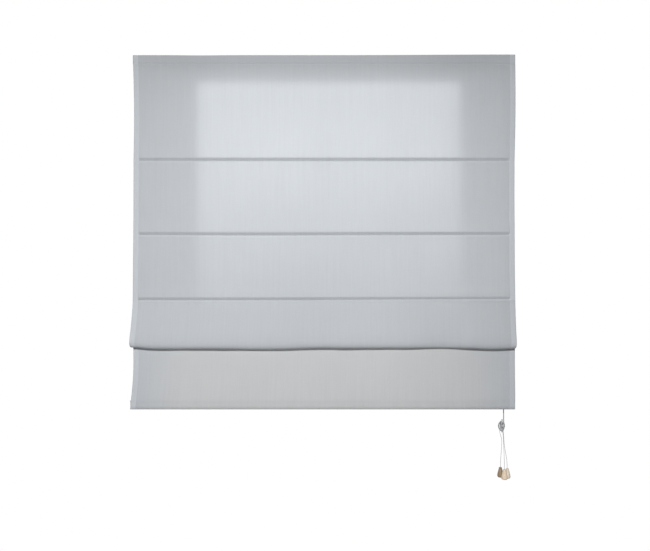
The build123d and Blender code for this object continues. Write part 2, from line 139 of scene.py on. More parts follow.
class BlindClothSettings(bpy.types.PropertyGroup):
    """Sizes and colours of the cloth and its sewing."""

    thickness: length("Thickness", "Thickness of the woven cloth", 0.0008)
    header_hem: length("Header hem", "Height of the cloth turned back at the top", 0.044)
    side_hem: length("Side hem", "Width of the cloth turned back at each side", 0.025)
    bottom_hem: length("Bottom hem", "Height of the hem that holds the bar", 0.042)
    flap: length("Flap", "Lowest rod to the bottom edge", 0.3270)
    fold_hang: length("Fold hang", "Foot of the fold below the lowest rod", 0.0410)
    fold_gap: length("Fold gap", "Back of the fold to the flap", 0.004)
    fold_sag: length("Fold sag", "How far the fold hangs lower beside the middle column", 0.0058)
    fold_skew: length("Fold skew", "How far the fold swings to the left", 0.0045)
    flap_skew: length("Flap skew", "How far the bottom edge swings to the left", 0.0068)
    tuck_depth: length("Tuck depth", "Depth of the crease over a rod pocket", 0.0042)
    tuck_reach: length("Tuck reach", "Height over which the cloth rolls into a crease from above", 0.0130)
    tuck_lip: length("Tuck lip", "Height over which the cloth comes out of a crease below", 0.0080)
    tuck_roll: length("Tuck roll", "How far the cloth rolls forward above a crease", 0.0022)
    tuck_ease: length("Tuck ease", "Height over which the roll above a crease fades out", 0.0550)
    ripple: length("Ripple", "Height of the slow waves in a panel", 0.0016)
    seam_dip: length("Seam dip", "How far a row of stitches draws the cloth in", 0.0014)
    pucker: length("Pucker", "Height of the small gathers beside the seams", 0.0005)
    stitch: length("Stitch", "Length of one sewn stitch", 0.0034)
    thread: length("Thread", "Thickness of the sewing thread", 0.0004)
    tint: colour("Cloth colour", "Colour of the cloth", (0.555, 0.580, 0.608))
    thread_tint: colour("Thread colour", "Colour of the sewing thread", (0.50, 0.52, 0.54))
    glow: share("Glow", "Share of light that comes through the cloth", 0.24)


class BlindCordSettings(bpy.types.PropertyGroup):
    """Sizes and colours of the cords and knots."""

    thickness: length("Cord thickness", "Diameter of the braided cord", 0.002)
    braid: length("Braid pitch", "Length over which a strand of the braid goes once round", 0.006)
    sides: IntProperty(name="Sides", description="Faces round a cord", default=10, min=6, max=24)
    tint: colour("Cord colour", "Colour of the cord", (0.37, 0.38, 0.39))
    # Painted shade: the colour put into the hollows between the strands
    shade: colour("Cord shade", "Colour between the strands of the braid", (0.21, 0.22, 0.23))


class BlindFittingSettings(bpy.types.PropertyGroup):
    """Colours of the batten, fittings and tassels."""

    pine: colour("Pine", "Early wood of the batten", (0.62, 0.44, 0.26))
    pine_grain: colour("Pine grain", "Late wood of the batten", (0.42, 0.25, 0.12))
    tassel: colour("Tassel wood", "Lit wood of the tassels", (0.80, 0.65, 0.47))
    tassel_grain: colour("Tassel grain", "Grain of the tassels", (0.55, 0.40, 0.26))
    zinc: colour("Zinc", "Plated steel of the brackets", (0.60, 0.61, 0.63))
    nylon: colour("Nylon", "Wheels, rings and caps", (0.80, 0.79, 0.75))
    fibre: colour("Glass fibre", "Rods", (0.74, 0.75, 0.72))
    tape: colour("Tape", "Hook and loop tape", (0.68, 0.69, 0.70))
    cleat: colour("Cleat plastic", "Moulded cleat", (0.43, 0.44, 0.45))


class BlindStageSettings(bpy.types.PropertyGroup):
    """Floor, lamps and camera."""

    floor_level: length("Floor level", "Height of the floor under the blind", -2.70)
    floor_tint: colour("Floor colour", "Colour of the floor", (0.80, 0.80, 0.80))
    ambient: amount("Ambient", "Strength of the even light", 0.11)
    key_power: amount("Key light", "Power of the main lamp in watts", 1115.0)
    back_power: amount("Back light", "Power of the lamp behind the cloth in watts", 5.0)
    fill_power: amount("Fill light", "Power of the wide lamp behind in watts", 2.4)
    camera_x: length("Camera across", "Camera position across", 0.0047)
    camera_y: length("Camera distance", "Camera position in front of the batten's back", -3.0)
    camera_z: length("Camera height", "Camera position from the middle of the batten", -1.0176)
    lens: amount("Lens", "Focal length in millimetres on a 36 mm sensor", 34.9)


def smooth(value):
    """Ease from 0 to 1: 3 v squared less 2 v cubed."""
    value = np.clip(value, 0, 1)
    return value * value * (3 - 2 * value)


def slope(value, start, run, height):
    """A smooth climb from 0 at a start to a height after a run."""
    return height * smooth((value - start) / run)


def bell(value, place, reach):
    """A bump of height 1 at a place: e to the power of minus ((value - place) / reach) squared."""
    return np.exp(-(((value - place) / reach) ** 2))


def bells(value, bumps):
    """The sum of bumps, each a place, a reach and a height."""
    return sum(height * bell(value, place, reach) for place, reach, height in bumps)


def waves(value, parts):
    """The sum of waves height sin(2 pi value / pitch + start), each a pitch, a height and a start."""
    return sum(height * np.sin(2 * np.pi * value / pitch + start) for pitch, height, start in parts)


def unit(vectors):
    """Rows scaled to length 1."""
    return vectors / np.linalg.norm(vectors, axis=-1, keepdims=True)


def corner_cut(points, rounds=7):
    """A smooth line: each round puts points at a quarter and three quarters of every run, ends kept."""
    line = np.asarray(points, float)
    for _ in range(rounds):
        near = 0.75 * line[:-1] + 0.25 * line[1:]
        far = 0.25 * line[:-1] + 0.75 * line[1:]
        cut = np.stack([near, far], axis=1).reshape(-1, line.shape[1])
        line = np.vstack([line[:1], cut, line[-1:]])
    keep = np.r_[True, np.linalg.norm(np.diff(line, axis=0), axis=1) > 1e-9]
    return line[keep]


def grid(points, uv, wrap=False):
    """Quads over a grid of points (rows, columns, 3). wrap joins the last column to the first, and uv then
    has one column more."""
    rows, columns = points.shape[:2]
    index = np.arange(rows * columns).reshape(rows, columns)
    if wrap:
        index = np.hstack([index, index[:, :1]])
    quads = np.stack([index[:-1, :-1], index[1:, :-1], index[1:, 1:], index[:-1, 1:]], axis=-1)
    spots = np.stack([uv[:-1, :-1], uv[1:, :-1], uv[1:, 1:], uv[:-1, 1:]], axis=2)
    return points.reshape(-1, 3), quads.reshape(-1, 4), spots.reshape(-1, 2)


def join(pieces):
    """Several grids as one list of points, quads and map places."""
    starts = np.cumsum([0] + [len(piece[0]) for piece in pieces[:-1]])
    quads = [piece[1] + start for piece, start in zip(pieces, starts)]
    return np.vstack([p[0] for p in pieces]), np.vstack(quads), np.vstack([p[2] for p in pieces])


def make_piece(name, shape, material):
    """A mesh object at the origin from points, quads and map places, with its doubles merged."""
    points, quads, spots = shape
    mesh = bpy.data.meshes.new(name)
    mesh.from_pydata(points.tolist(), [], quads.tolist())
    layer = mesh.uv_layers.new(name="UVMap")
    layer.data.foreach_set("uv", spots.astype(np.float32).ravel())
    work = bmesh.new()
    work.from_mesh(mesh)
    bmesh.ops.remove_doubles(work, verts=work.verts, dist=1e-7)
    bmesh.ops.dissolve_degenerate(work, edges=work.edges, dist=1e-8)
    work.to_mesh(mesh)
    work.free()
    mesh.polygons.foreach_set("use_smooth", [True] * len(mesh.polygons))
    mesh.materials.append(material)
    piece = bpy.data.objects.new(name, mesh)
    bpy.context.scene.collection.objects.link(piece)
    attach(piece, BODY)
    return piece


def tube(path, radius, sides, across, closed=False):
    """A round tube along a path. Each ring is path + radius (cos a side + sin a other), with side square to
    the path and to across."""
    if closed:
        run = unit(np.roll(path, -1, axis=0) - np.roll(path, 1, axis=0))
    else:
        run = unit(np.gradient(path, axis=0))
    side = unit(np.cross(run, np.asarray(across, float)))
    other = np.cross(side, run)
    steps = np.linalg.norm(np.diff(path, axis=0), axis=1)
    along = np.r_[0, np.cumsum(steps)]
    angle = np.linspace(0, 2 * math.pi, sides, endpoint=False)
    ring = np.cos(angle)[:, None] * side[:, None, :] + np.sin(angle)[:, None] * other[:, None, :]
    rings = path[:, None, :] + radius * ring
    if closed:
        rings = np.concatenate([rings, rings[:1]])
        along = np.r_[along, along[-1] + np.linalg.norm(path[0] - path[-1])]
    else:
        first = np.repeat(path[:1, None, :], sides, axis=1)
        last = np.repeat(path[-1:, None, :], sides, axis=1)
        rings = np.concatenate([first, rings, last])
        along = np.r_[along[0], along, along[-1]]
    turn = np.linspace(0, 1, sides + 1)
    uv = np.stack(np.meshgrid(turn, along), axis=-1)
    return grid(rings, uv, wrap=True)


def spline_points(route, resolution=14):
    """Points along one open NURBS spline with the route as its control points."""
    curve = bpy.data.curves.new("route", "CURVE")
    curve.dimensions = "3D"
    spline = curve.splines.new("NURBS")
    spline.points.add(len(route) - 1)
    flat = np.hstack([np.asarray(route, float), np.ones((len(route), 1))])
    spline.points.foreach_set("co", flat.ravel())
    spline.order_u = 3
    spline.use_endpoint_u = True
    spline.resolution_u = resolution
    holder = bpy.data.objects.new("route", curve)
    mesh = bpy.data.meshes.new_from_object(holder)
    line = np.empty(len(mesh.vertices) * 3)
    mesh.vertices.foreach_get("co", line)
    bpy.data.objects.remove(holder)
    bpy.data.curves.remove(curve)
    bpy.data.meshes.remove(mesh)
    return line.reshape(-1, 3)


class ClothShape:
    """The hung cloth over x, across, and s, along its section: from the header return, over the top edge and
    down the front, out and round the fold, up to the lowest rod, down the flap and round the bar into the
    bottom hem."""

    # Rows of the mesh, and the points of the section that are kept out of the search for the fold's foot
    SECTION_STEP = 0.021
    ROWS_PER_RADIAN = 7.0
    TUCK_STEP = 0.0011
    DENSE_REACH = 1.3
    FOOT_ROWS = 400
    # Gaps, seams, runs and rounds of the section
    HEADER_GAP = 0.0011
    HEADER_SEAM_IN = 0.003
    SIDE_SEAM_IN = 0.002
    EDGE_RUN = 0.002
    BAR_ROOM = 0.0054
    HEM_RUN = 0.0318
    FOLD_ROUND = 0.024
    FOLD_LEAN = 0.205
    # Corners of the fold's face in shares of its depth and lean, and of its foot in shares of depth and round
    FOLD_FACE = ((0.12, 0.15), (0.50, 0.60), (1.0, 0.92))
    FOLD_FOOT = ((0.96, 0.5), (0.60, 0.0))
    # Slow waves of a panel: each has a height, a pace across, a pace along and a start
    PANEL_PITCH = 0.74
    PANEL_DRIFT = 0.16
    PANEL_PACE = 4.1
    PANEL_WAVES = ((1.0, 1.0, 0.0, 0.7), (0.55, 2.3, 5.0, 2.1), (0.3, 5.2, -3.0, 0.4))
    # Small gathers beside the seams: the first wave wanders along x, the second is even
    GATHER_PITCH = 0.041
    GATHER_WANDER = 1.7
    GATHER_PACE = 9
    GATHER_EVEN = (0.067, 0.7, 2.6)
    PUCKER_REACH = 0.03
    HEM_PUCKER = 0.5
    HEM_PUCKER_REACH = 0.012
    # Creases: how far they run past a pocket, their depths and rolls, the second's dip and the third's rise
    POCKET_SPARE = 0.003
    TUCK_PAST = 0.007
    TUCK_FADE = 0.010
    TUCK_DEPTHS = (1, 1, 1, 1.5)
    TUCK_ROLLS = (1, 1, 1, 0)
    CREASE_DIP = ((-0.30, 0.35, 0.0035),)
    CREASE_RISE = (-0.35, 1.1, -0.0050)
    HEADER_DIP_REACH = 0.0035
    SIDE_DIP_REACH = 0.0030
    SIDE_DIP = 0.4
    # Foot of the fold across x: where it sags or is drawn up, its lifted left end, its waves and its pinch
    FOLD_SAGS = (
        (-0.29, 0.19, 1.0),
        (0.55, 0.12, -0.3),
        (-0.72, 0.17, 0.65),
        (0.0, 0.09, -0.3),
        (0.80, 0.09, 0.9),
    )
    END_LIFT = (0.80, 0.10, 0.9)
    FOLD_SWELL = 0.0018
    FOLD_WAVES = ((0.62, 1.0, 0.9), (0.29, 0.5, 0.0))
    FOLD_PINCH = ((0.56, 0.09, 0.35),)
    # Top edge: its rise to the right, its dip and how far down they fade out
    TOP_RISE = (0.1, 0.75, 0.0028)
    TOP_DIP = ((-0.58, 0.10, -0.0014),)
    TOP_FADE = 0.05
    # Side edges: shares by which panels, flap and fold are narrower or wider, and how far they shift
    PANEL_NARROW = 0.0035
    FLAP_NARROW = 0.0045
    FOLD_NARROW = 0.006
    FOLD_NARROW_REACH = 0.016
    FOLD_WIDEN = 0.0018
    FLAP_SPREAD = 0.0010
    PANEL_SHIFT = 0.0035

    def __init__(self, sizes):
        self.sizes = sizes
        thick = sizes.thickness
        front = TAPE_FRONT - 1.5 * thick
        depth = front - (CLOTH_LOW[1] + thick / 2)
        rod_3, rod_4 = RODS[2][2], RODS[3][2]
        fold = rod_4 - sizes.fold_hang
        bar = (BAR_LOW + BAR_HIGH) / 2
        drop = rod_4 - bar[2]
        lean = math.atan2(front + self.BAR_ROOM / 2 - bar[1], drop)
        self.front = front
        self.half_tuck = POCKET_END + self.POCKET_SPARE

        def flap(down, back):
            """A place so far down the leaning flap and so far behind its face."""
            return (
                front - down * math.sin(lean) + back * math.cos(lean),
                rod_4 - down * math.cos(lean) - back * math.sin(lean),
            )

        run, gap, foot = self.EDGE_RUN, sizes.fold_gap, sizes.flap
        back = front + self.HEADER_GAP
        outline = [
            (back, TOP - sizes.header_hem),
            (back, TOP - run),
            (back, TOP),
            (front, TOP),
            (front, TOP - run),
            (front, rod_3 + run),
            *[(front - depth * out, rod_3 - self.FOLD_LEAN * low) for out, low in self.FOLD_FACE],
            *[(front - depth * out, fold + self.FOLD_ROUND * up) for out, up in self.FOLD_FOOT],
            (front - gap, fold),
            (front - gap, fold + self.FOLD_ROUND),
            (front - gap, rod_4 + run),
            (front, rod_4 + run),
            flap(3 * run, 0),
            flap(foot - 5 * run, 0),
            flap(foot, 0),
            flap(foot, self.BAR_ROOM),
            flap(foot - 3 * run, self.BAR_ROOM),
            flap(foot - self.HEM_RUN, self.BAR_ROOM),
            flap(foot - sizes.bottom_hem + run, 1.6 * thick),
            flap(foot - sizes.bottom_hem, 1.4 * thick),
        ]
        self.line = corner_cut(outline)
        step = np.linalg.norm(np.diff(self.line, axis=0), axis=1)
        self.s = np.r_[0, np.cumsum(step)]
        self.run = unit(np.gradient(self.line, self.s, axis=0))
        heading = np.unwrap(np.arctan2(self.run[:, 1], self.run[:, 0]))
        down = np.argmax(self.line[:, 1])
        foot_row = np.argmin(self.line[:, 1])
        forward = np.where(self.line[:, 0] < front - depth * 0.3, self.line[:, 1], 0)
        fold_row = np.argmin(forward[:foot_row - self.FOOT_ROWS])
        top_row = fold_row + np.argmax(self.line[fold_row:foot_row, 1])
        upper = [np.interp(-rod[2], -self.line[down:fold_row, 1], self.s[down:fold_row]) for rod in RODS[:3]]
        self.rods = np.array(upper + [self.s[top_row]])
        self.top, self.fold, self.foot = self.s[down], self.s[fold_row], self.s[foot_row]
        self.header_seam = self.top + sizes.header_hem - self.HEADER_SEAM_IN
        self.side_seam = HALF_WIDTH - sizes.side_hem + self.SIDE_SEAM_IN
        self.length = float(self.s[-1])
        self.hem = 2 * sizes.side_hem
        self.width = 2 * (HALF_WIDTH + sizes.side_hem)
        load = step / self.SECTION_STEP + np.abs(np.diff(heading)) * self.ROWS_PER_RADIAN
        mids = (self.s[1:] + self.s[:-1]) / 2
        close = np.r_[self.header_seam, self.rods]
        near = np.abs(mids[:, None] - close).min(axis=1) < sizes.tuck_reach * self.DENSE_REACH
        load += np.where(near, step / self.TUCK_STEP, 0)
        total = np.r_[0, np.cumsum(load)]
        self.rows = np.interp(np.linspace(0, total[-1], int(total[-1])), total, self.s)

    def span(self, s, low, high):
        """Share of the way from low to high."""
        return np.clip((s - low) / (high - low), 0, 1)

    def at(self, x, s, back=0.0):
        """Points of the cloth: the section at s, pushed back by the tucks, waved, sagged and skewed, and then
        moved by back along the section's own back-facing normal."""
        sizes = self.sizes
        x, s = np.broadcast_arrays(np.asarray(x, float), np.asarray(s, float))
        y, z = (np.interp(s, self.s, part) for part in self.line.T)
        run_y, run_z = (np.interp(s, self.s, part) for part in self.run.T)
        hems = (self.top + sizes.header_hem, self.foot - sizes.bottom_hem)
        lines = np.r_[hems[0], self.rods, hems[1]]
        slack = sum(np.sin(np.pi * self.span(s, a, b)) for a, b in zip(lines[:-1], lines[1:]))
        panel = 2 * np.pi * (x / self.PANEL_PITCH + self.PANEL_DRIFT * np.sin(self.PANEL_PACE * s))
        parts = self.PANEL_WAVES
        wave = sum(high * np.sin(pace * panel + along * s + start) for high, pace, along, start in parts)
        y = y + sizes.ripple * slack * wave

        tucked = smooth((self.half_tuck + self.TUCK_PAST - np.abs(x)) / self.TUCK_FADE)
        wander = self.GATHER_WANDER * np.sin(self.GATHER_PACE * x)
        gathers = sizes.pucker * waves(x, ((self.GATHER_PITCH, 1, wander), self.GATHER_EVEN))
        drifts = (0, bells(x, self.CREASE_DIP), slope(x, *self.CREASE_RISE), 0)
        for rod, drift, depth, roll in zip(self.rods, drifts, self.TUCK_DEPTHS, self.TUCK_ROLLS):
            past = s - rod - drift
            dive = np.clip(1 + past / sizes.tuck_reach, 0, 1)
            lip = np.clip(1 - past / sizes.tuck_lip, 0, 1)
            groove = np.where(past < 0, dive, lip)
            eased = 1 - smooth((-past - sizes.tuck_reach) / sizes.tuck_ease)
            rolled = np.where(past < 0, eased * (1 - dive), 0)
            y = y + (depth * sizes.tuck_depth * groove - roll * sizes.tuck_roll * rolled) * tucked
            y = y + gathers * bell(past, 0, self.PUCKER_REACH) * (1 - groove) * tucked
        y = y + sizes.seam_dip * bell(s, self.header_seam, self.HEADER_DIP_REACH)
        y = y + self.SIDE_DIP * sizes.seam_dip * bell(np.abs(x), self.side_seam, self.SIDE_DIP_REACH)
        for seam in hems:
            y = y + self.HEM_PUCKER * gathers * bell(s, seam, self.HEM_PUCKER_REACH)

        behind = smooth(self.span(s, self.fold, self.rods[3]))
        hang = smooth(self.span(s, self.rods[2], self.fold)) * (1 - behind)
        z = z - sizes.fold_sag * hang * (bells(x, self.FOLD_SAGS) - slope(-x, *self.END_LIFT))
        uneven = slope(x, *self.TOP_RISE) + bells(x, self.TOP_DIP)
        z = z + uneven * (1 - slope(s, self.top, self.TOP_FADE, 1))
        y = y - self.FOLD_SWELL * hang * waves(x, self.FOLD_WAVES)
        y = y + bells(x, self.FOLD_PINCH) * hang * np.maximum(self.front - sizes.fold_gap - y, 0)
        flap = self.span(s, self.rods[3], self.foot)
        waist = np.sin(np.pi * flap) * (1 - flap + (1 - x / HALF_WIDTH) / 2)
        panels = np.sin(np.pi * self.span(s, self.top, self.rods[2]))
        narrow = self.PANEL_NARROW * panels + self.FLAP_NARROW * waist
        narrow += self.FOLD_NARROW * bell(s, self.fold, self.FOLD_NARROW_REACH) - self.FOLD_WIDEN * hang
        skew = sizes.fold_skew * hang + flap**2 * (sizes.flap_skew - self.FLAP_SPREAD * x / HALF_WIDTH)
        shift = self.PANEL_SHIFT * np.sin(np.pi * self.span(s, self.top, self.rods[0]))
        x = x * (1 - narrow) - skew + shift
        return np.stack([x, y - run_z * back, z + run_y * back], axis=-1)


# Strands of a cord's braid, each way round
BRAID_STRANDS = 4
# Painted light and shade on the cloth: how far in from an edge each reaches, and how much darker it is there
# Painted warm light: the middle of the flap lighter and warmer, a little darker towards its sides
FLAP_PAINTED_LIGHT = [(0.0, (0.98, 0.98, 0.985)), (1.0, (1.08, 1.045, 1.01))]
FLAP_LIGHT_REACH = 0.30
INNER_REACH = 0.25
# Painted shade over the header, fading out below its seam, weighted inward from the side hems
HEADER_SHADE_REACH, HEADER_PAINTED_SHADE = 0.09, 0.08
# More painted shade, fading out just below the header seam, across the whole width
SEAM_SHADE_REACH, SEAM_PAINTED_SHADE = 0.045, 0.04
# Painted shade along the folded side edges
EDGE_SHADE_REACH, EDGE_PAINTED_SHADE = 0.004, 0.22
# Painted shade along the bottom edge, where the hem turns under
FOOT_SHADE_REACH, FOOT_PAINTED_SHADE = 0.018, 0.25
# Painted shade on the lower right side, fading out towards the left
FLANK_SHADE_REACH, FLANK_PAINTED_SHADE = 0.65, 0.085


class NodeTree:
    """Nodes of a material, a lamp or the world in the making, with short names for those used."""

    def __init__(self, owner):
        owner.use_nodes = True
        self.tree = owner.node_tree

    def node(self, kind, **values):
        """A node with values set on its properties or on the inputs of the same name, linked where a socket
        is given. i0, i1 and so on are inputs by number."""
        node = self.tree.nodes.new("ShaderNode" + kind)
        for key, value in values.items():
            if hasattr(node, key):
                setattr(node, key, value)
                continue
            place = node.inputs[int(key[1:]) if key[1:].isdigit() else key]
            if isinstance(value, bpy.types.NodeSocket):
                self.tree.links.new(value, place)
            else:
                place.default_value = value
        return node

    def math(self, how, first, second=0.0):
        """One sum of two values."""
        return self.node("Math", operation=how, i0=first, i1=second).outputs[0]

    def weighted(self, *parts):
        """The sum of values times their weights, from (value, weight) pairs."""
        total, *others = [self.math("MULTIPLY", value, weight) for value, weight in parts]
        for term in others:
            total = self.math("ADD", total, term)
        return total

    def spread(self, value, low, high, start=0.0, end=1.0):
        """A value from low to high, spread over start to end and kept within them."""
        return self.node("MapRange", Value=value, i1=low, i2=high, i3=start, i4=end).outputs[0]

    def ramp(self, value, stops):
        """Colours along a value, from (place, colour) pairs."""
        node = self.node("ValToRGB", Fac=value)
        ramp = node.color_ramp
        for number, (spot, tone) in enumerate(stops):
            stop = ramp.elements[number] if number < 2 else ramp.elements.new(spot)
            stop.position = spot
            stop.color = (*tone, 1)
        return node.outputs[0]

    def tones(self, value, tint, *stops):
        """One tint made darker and lighter along a value, from (place, factor) pairs."""
        return self.ramp(value, [(spot, shade(tint, factor)) for spot, factor in stops])

    def show(self, output, share, first, second):
        """Put a mix of two shaders on an output."""
        mix = self.node("MixShader", i0=share, i1=first.outputs[0], i2=second.outputs[0])
        self.tree.links.new(mix.outputs[0], self.tree.nodes[output].inputs["Surface"])


class Finish(NodeTree):
    """A material in the making, round one shader."""

    def __init__(self, name, base, rough, inputs=()):
        self.material = bpy.data.materials.new(name)
        super().__init__(self.material)
        self.shader = self.tree.nodes["Principled BSDF"]
        for key, value in (("Base Color", (*base, 1)), ("Roughness", rough), *inputs):
            self.shader.inputs[key].default_value = value

    def place(self, kind="Object", scale=(1, 1, 1)):
        """Coordinates, scaled."""
        source = self.node("TexCoord").outputs[kind]
        return self.node("Mapping", Vector=source, Scale=scale).outputs[0]

    def noise(self, vector, scale, detail=3.0, rough=0.55, bend=0.0):
        """Cloudy noise from 0 to 1."""
        values = {"Scale": scale, "Detail": detail, "Roughness": rough, "Distortion": bend}
        return self.node("TexNoise", Vector=vector, **values).outputs["Fac"]

    def cells(self, scale):
        """Distance to the middle of the nearest cell of a foam."""
        return self.node("TexVoronoi", Vector=self.place(), Scale=scale).outputs["Distance"]

    def feed(self, name, value):
        """Link a value to the shader."""
        self.tree.links.new(value, self.shader.inputs[name])

    def paint(self, value, tint, *stops):
        """Colour the surface with one tint, as tones does."""
        self.feed("Base Color", self.tones(value, tint, *stops))

    def gloss(self, value, rough, *stops):
        """Vary the roughness by factors along a value."""
        self.feed("Roughness", self.tones(value, (rough,) * 3, *stops))

    def bump(self, height, strength, depth):
        """Raise the surface by a height."""
        node = self.node("Bump", Height=height, Strength=strength, Distance=depth)
        self.feed("Normal", node.outputs[0])
        return node.outputs[0]


def shade(tint, factor):
    """A colour made darker or lighter, by one factor or by one for each part."""
    return tuple(np.minimum(1.0, np.multiply(tint, factor)))


def painted_shading(made, paint, across, along, inward, shape):
    """Painted light and shade on the cloth's own map: painted warm light makes the middle of the flap
    lighter, and painted shade makes the header, the lower right side, the folded side edges and the bottom
    edge darker."""
    hem, header, foot = shape.hem, shape.header_seam, shape.foot
    # Painted warm light over the middle of the flap
    fade = made.ramp(made.spread(inward, hem, FLAP_LIGHT_REACH), FLAP_PAINTED_LIGHT)
    on_flap = made.math("GREATER_THAN", along, shape.rods[3])
    kind = {"data_type": "RGBA", "blend_type": "MULTIPLY"}
    paint = made.node("Mix", **kind, i0=on_flap, i6=paint, i7=fade).outputs[2]
    inner = made.spread(inward, hem, INNER_REACH)
    # Painted shade at the header, under the batten
    upper = made.spread(along, header, header + HEADER_SHADE_REACH, HEADER_PAINTED_SHADE, 0.0)
    # Painted shade just below the header seam
    under = made.spread(along, header, header + SEAM_SHADE_REACH, SEAM_PAINTED_SHADE, 0.0)
    below_seam = made.math("GREATER_THAN", along, header)
    # Painted shade over the lower right side, below the third rod
    from_right = made.math("SUBTRACT", shape.width, across)
    flank = made.spread(from_right, hem, FLANK_SHADE_REACH, FLANK_PAINTED_SHADE, 0.0)
    below_rod_3 = made.math("GREATER_THAN", along, shape.rods[2])
    # Painted shade in a narrow band at each folded side edge
    edge = made.math("ABSOLUTE", made.math("SUBTRACT", inward, hem / 2))
    side = made.spread(edge, 0.0, EDGE_SHADE_REACH, EDGE_PAINTED_SHADE, 0.0)
    # Painted shade growing towards the bottom edge
    lower = made.spread(along, foot - FOOT_SHADE_REACH, foot, 0.0, FOOT_PAINTED_SHADE)
    # The painted shade summed, then taken off the colour
    dark = made.weighted((inner, upper), (flank, below_rod_3), (under, below_seam))
    dark = made.math("ADD", dark, made.math("MAXIMUM", side, lower))
    light = made.math("SUBTRACT", 1.0, dark)
    return made.node("VectorMath", operation="SCALE", i0=paint, Scale=light).outputs[0]


def woven(name, tint, glow, shape=None):
    """Plain weave: two crossed threads of waves on the cloth's own map, slubs along both, light let through.
    A shape gives the hung cloth's places on that map: it is lighter where it lies double, and gets painted
    light and shade."""
    sheen = (("Sheen Weight", 0.12), ("Sheen Roughness", 0.5), ("Specular IOR Level", 0.2))
    made = Finish(name, tint, 0.92, sheen)
    cloth = made.place("UV")
    threads = {"Vector": cloth, "Scale": 390.0, "Distortion": 0.6, "Detail": 1.0}
    warp, weft = [made.node("TexWave", bands_direction=way, **threads).outputs["Fac"] for way in "XY"]
    upright = made.noise(made.place("UV", (900, 14, 1)), 1.0)
    level = made.noise(made.place("UV", (16, 800, 1)), 1.0)
    slub = made.weighted((upright, 0.55), (level, 0.45))
    cloudy = made.noise(cloth, 3.0, 2.0)
    streaks = made.noise(made.place("UV", (120, 2.5, 1)), 1.0, 2.0)
    tone = made.weighted((slub, 0.55), (cloudy, 0.2), (streaks, 0.25))
    if shape:
        spot = made.node("SeparateXYZ", Vector=cloth)
        across, along = spot.outputs[0], spot.outputs[1]
        inward = made.math("MINIMUM", across, made.math("SUBTRACT", shape.width, across))
        double = made.math("LESS_THAN", inward, shape.hem)
        tone = made.weighted((tone, 1.0), (double, 0.42))
    paint = made.tones(tone, tint, (0.30, 0.93), (0.70, 1.05), (1.0, 1.15))
    # Painted warm light on the flap and painted shade at the header, the lower right side and the edges
    if shape:
        paint = painted_shading(made, paint, across, along, inward, shape)
    made.feed("Base Color", paint)
    raised = made.math("ADD", made.math("MAXIMUM", warp, weft), slub)
    normal = made.bump(raised, 0.22, 0.0003)
    through = made.node("BsdfTranslucent", Color=paint, Normal=normal)
    made.show("Material Output", glow, made.shader, through)
    return made.material


def spun(name, tint):
    """Sewing thread: fine twisted streaks and little gloss."""
    made = Finish(name, tint, 0.75, [("Sheen Weight", 0.15)])
    streak = made.noise(made.place(), 2600.0, 2.0)
    made.paint(streak, tint, (0.3, 0.86), (0.7, 1.06))
    made.bump(streak, 0.3, 0.0001)
    return made.material


def braided(name, tint, gap, pitch):
    """Round braid: strands wind both ways round the cord's own map, and sink where they cross under; the
    hollows between them get the cord shade as painted shade, and their crowns a painted highlight.
    """
    made = Finish(name, tint, 0.8, [("Sheen Weight", 0.2)])
    parts = made.node("SeparateXYZ", Vector=made.node("TexCoord").outputs["UV"])
    turns = BRAID_STRANDS * 2 * math.pi
    round_ = made.math("MULTIPLY", parts.outputs[0], turns)
    along = made.math("MULTIPLY", parts.outputs[1], turns / pitch)
    one, other = [made.math("SINE", made.math(how, round_, along)) for how in ("ADD", "SUBTRACT")]
    crossing = made.math("MULTIPLY", one, other)
    weave = made.node("Math", operation="MULTIPLY_ADD", i0=crossing, i1=0.5, i2=0.5).outputs[0]
    fuzz = made.noise(made.place(), 1800.0, 2.0)
    height = made.weighted((weave, 1.0), (fuzz, 0.3))
    # Painted shade in the hollows between the strands, painted highlight on their crowns
    made.feed("Base Color", made.ramp(height, [(0.15, gap), (0.65, tint), (1.0, shade(tint, 1.12))]))
    made.bump(height, 0.6, 0.0004)
    return made.material


def wooden(name, light, dark, stretch, scale, rough):
    """Wood: noise drawn out along the grain bends bands of late wood, with fine pores over it."""
    made = Finish(name, light, rough)
    grain = made.place("Object", stretch)
    bands = made.noise(grain, scale, 4.0, 0.6, 1.2)
    pores = made.noise(grain, scale * 9, 2.0)
    tone = made.weighted((bands, 0.8), (pores, 0.2))
    paint = made.ramp(tone, [(0.34, dark), (0.48, shade(light, 0.86)), (0.66, shade(light, 1.08))])
    made.feed("Base Color", paint)
    made.gloss(pores, rough, (0.2, 1.15), (0.8, 0.85))
    made.bump(tone, 0.25, 0.0004)
    return made.material


def moulded(name, tint, rough):
    """Moulded plastic: a fine even grain with faint flow marks."""
    made = Finish(name, tint, rough)
    fine = made.noise(made.place(), 900.0, 3.0)
    flow = made.noise(made.place(), 30.0, 4.0, 0.6, 1.0)
    made.paint(flow, tint, (0.3, 0.9), (0.7, 1.06))
    made.gloss(fine, rough, (0.2, 0.8), (0.8, 1.2))
    made.bump(fine, 0.15, 0.0002)
    return made.material


def plated(name, tint, rough):
    """Plated steel: metal with soft spangle and fine rolling lines."""
    made = Finish(name, tint, rough, [("Metallic", 1.0)])
    lines = made.noise(made.place("Object", (60, 900, 900)), 1.0)
    made.paint(made.cells(260.0), tint, (0.1, 0.88), (0.7, 1.08))
    made.gloss(lines, rough, (0.3, 0.8), (0.7, 1.3))
    made.bump(lines, 0.12, 0.0001)
    return made.material


